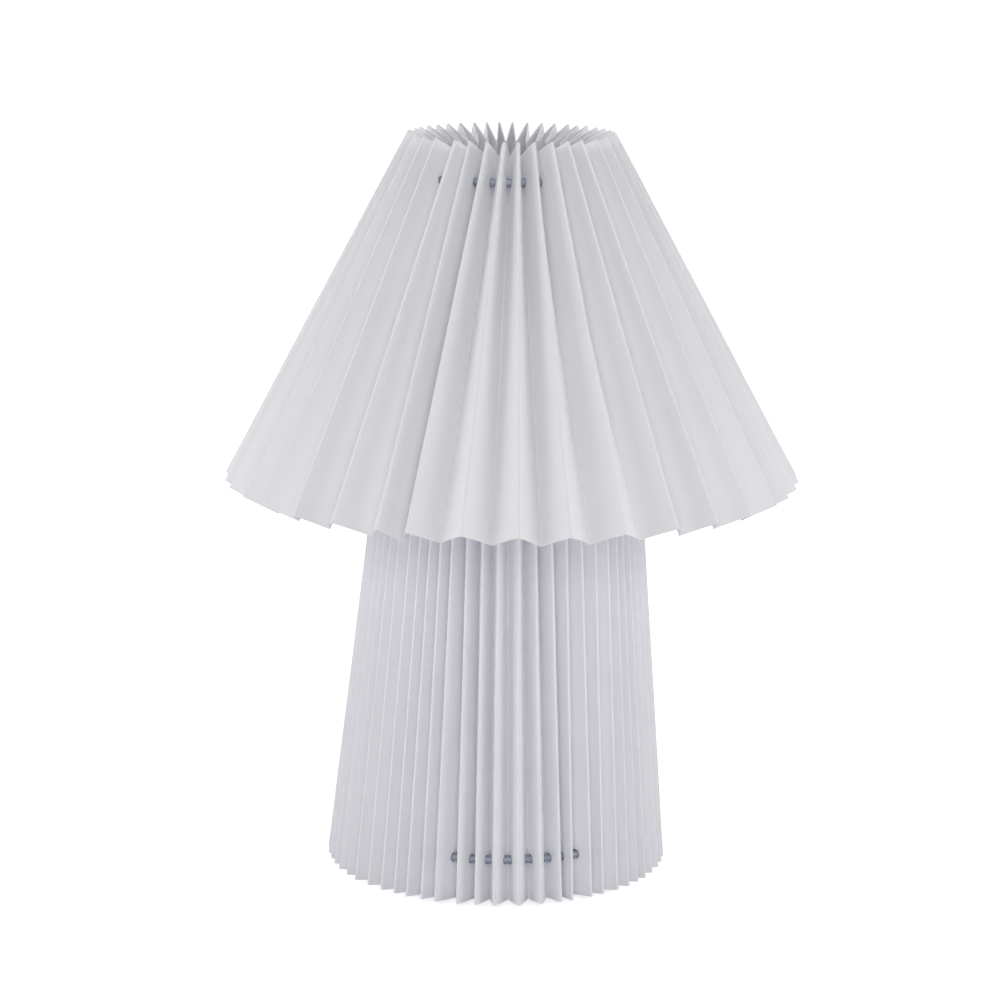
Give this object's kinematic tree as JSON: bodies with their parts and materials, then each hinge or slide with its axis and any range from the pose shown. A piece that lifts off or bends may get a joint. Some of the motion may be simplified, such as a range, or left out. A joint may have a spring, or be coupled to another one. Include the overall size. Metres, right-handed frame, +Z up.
{
  "type": "pleated table lamp",
  "caption": "Table lamp with a flared pleated paper shade over a tall pleated paper base, on wire rings, a stem and a weighted plate, with lampholder and bulb.",
  "frame": {"origin": "centre of the footprint, on the surface that the lamp stands on", "axes": "+Z up along the stem, -Y towards the front, where an outer fold of the shade and of the skirt faces; the cord's way out is at +Y"},
  "size_m": [0.2992, 0.3, 0.3866],
  "materials": {
    "shade_paper": "matt laminated paper with pressed folds",
    "skirt_paper": "matt laminated paper with pressed folds",
    "ring_steel": "grey lacquer",
    "frame_steel": "white powder coat",
    "holder_plastic": "moulded, satin",
    "core_ceramic": "unglazed",
    "bulb_opal": "opal, frosted inside",
    "bulb_housing": "smooth",
    "nickel": "nickel plated, rolled",
    "insulator_glass": "black glass",
    "solder": "soldered",
    "contact_brass": "rolled sheet",
    "stem_steel": "zinc plated, threaded",
    "plate_iron": "black lacquer, slightly rough",
    "bush_plastic": "moulded",
    "pad_rubber": "matt"
  },
  "bodies": {
    "base": {"lampholder_shell": "holder_plastic", "lampholder_cap": "holder_plastic", "lampholder_core": "core_ceramic", "screw_shell": "contact_brass", "centre_contact": "contact_brass", "side_contact": "contact_brass", "terminal_screws": "contact_brass", "stem_tube": "stem_steel", "upper_stem_nut": "stem_steel", "upper_spider": "frame_steel", "upper_ring": "ring_steel", "base_skirt": "skirt_paper", "lower_ring": "ring_steel", "lower_spider": "frame_steel", "plate_nut": "stem_steel", "base_plate": "plate_iron", "stem_washer": "stem_steel", "stem_end_nut": "stem_steel", "cable_bush": "bush_plastic", "foot_pads": "pad_rubber"},
    "shade": {"shade_pleats": "shade_paper", "shade_ring": "ring_steel", "shade_carrier": "frame_steel"},
    "ring_nut": {"shade_nut": "holder_plastic"},
    "bulb_tip": {"bulb_insulator": "insulator_glass", "bulb_contact": "solder"},
    "bulb": {"bulb_globe": "bulb_opal", "bulb_collar": "bulb_housing", "bulb_screw_cap": "nickel"}
  },
  "joints": [
    {"name": "shade_lift", "type": "slide", "parent": "base", "child": "shade", "axis": [0, 0, 1], "range_m": [0, 0.1]},
    {"name": "nut_lift", "type": "slide", "parent": "shade", "child": "ring_nut", "axis": [0, 0, 1], "range_m": [0, 0.028]},
    {"name": "bulb_rise", "type": "slide", "parent": "ring_nut", "child": "bulb_tip", "axis": [0, 0, 1], "range_m": [0, 0.0182]},
    {"name": "bulb_turn", "type": "hinge", "parent": "bulb_tip", "child": "bulb", "pos_m": [0, 0, 0.3], "axis": [0, 0, 1], "range_deg": [0, 1800]}
  ],
  "couplings": [
    {"joint": "bulb_rise", "follows": "bulb_turn", "m_per_rad": 0.00057773}
  ]
}
